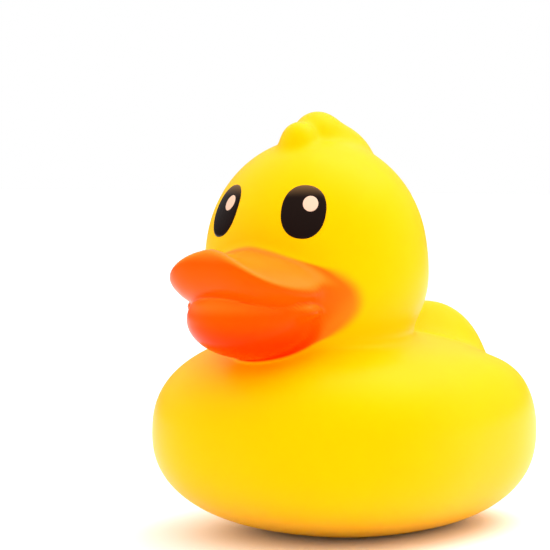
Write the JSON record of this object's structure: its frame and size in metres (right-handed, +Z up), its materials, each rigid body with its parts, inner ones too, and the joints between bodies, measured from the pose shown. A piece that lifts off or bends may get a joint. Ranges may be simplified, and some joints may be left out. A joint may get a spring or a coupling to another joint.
{
  "type": "rubber duck",
  "caption": "Hollow yellow bath duck with an orange bill, black oval eyes, a small tuft, an upturned tail and a squeaker in its flat base.",
  "frame": {"origin": "on the floor, under the middle of the duck's box", "axes": "+Z up, -Y the way the bill points, +X the duck's left side"},
  "size_m": [0.0712, 0.0928, 0.086],
  "materials": {
    "yellow_vinyl": "satin",
    "squeaker_plastic": "satin",
    "reed_plastic": "satin"
  },
  "bodies": {
    "root": {"duck_body": "yellow_vinyl", "squeaker_housing": "squeaker_plastic", "squeaker_reed": "reed_plastic"}
  },
  "joints": []
}
